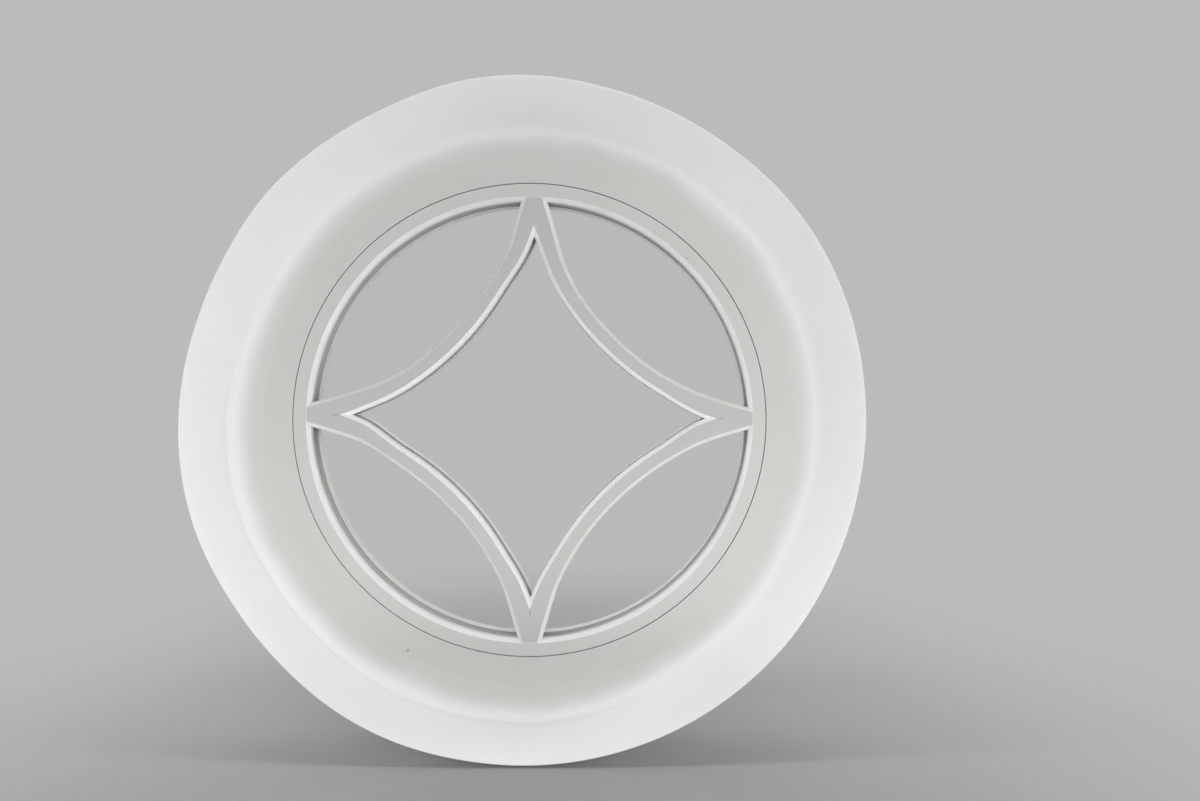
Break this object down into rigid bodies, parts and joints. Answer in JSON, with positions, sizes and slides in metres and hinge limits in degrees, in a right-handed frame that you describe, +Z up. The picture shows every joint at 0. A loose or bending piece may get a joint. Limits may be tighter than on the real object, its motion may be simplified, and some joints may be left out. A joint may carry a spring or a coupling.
{
  "type": "round window",
  "caption": "Round fixed window: a white wooden ring frame and sash, curved glazing bars that cross to form a pointed star, an insulating glass unit and a flared lining.",
  "frame": {"origin": "on the window's axis, in the plane of the wooden frame's room face", "axes": "+Y along the window's axis from the room to the weather, +X to the right seen from the room, +Z up"},
  "size_m": [1.18, 0.23, 1.18],
  "materials": {
    "frame_paint": "satin",
    "sash_paint": "satin",
    "bar_paint": "satin",
    "bead_paint": "satin",
    "bare_wood": "matte",
    "packer_plastic": "matte",
    "block_plastic": "matte",
    "glass": "gloss",
    "edge_spacer": "matte",
    "glazing_tape": "matte",
    "spacer_bar": "matte",
    "lining_plaster": "matte"
  },
  "bodies": {
    "root": {"bar_tenons": "bare_wood", "edge_spacer": "edge_spacer", "frame_segment_1": "frame_paint", "frame_segment_2": "frame_paint", "frame_segment_3": "frame_paint", "frame_segment_4": "frame_paint", "frame_tongues": "bare_wood", "glazing_bead_1": "bead_paint", "glazing_bead_2": "bead_paint", "glazing_bead_3": "bead_paint", "glazing_bead_4": "bead_paint", "glazing_tape": "glazing_tape", "inner_bar_lower_left": "bar_paint", "inner_bar_lower_right": "bar_paint", "inner_bar_upper_left": "bar_paint", "inner_bar_upper_right": "bar_paint", "inner_pane": "glass", "outer_bar_lower_left": "bar_paint", "outer_bar_lower_right": "bar_paint", "outer_bar_upper_left": "bar_paint", "outer_bar_upper_right": "bar_paint", "outer_pane": "glass", "reveal_lining": "lining_plaster", "sash_packers": "packer_plastic", "sash_segment_1": "sash_paint", "sash_segment_2": "sash_paint", "sash_segment_3": "sash_paint", "sash_segment_4": "sash_paint", "sash_tongues": "bare_wood", "setting_blocks": "block_plastic", "spacer_bar_lower_left": "spacer_bar", "spacer_bar_lower_right": "spacer_bar", "spacer_bar_upper_left": "spacer_bar", "spacer_bar_upper_right": "spacer_bar"}
  },
  "joints": []
}
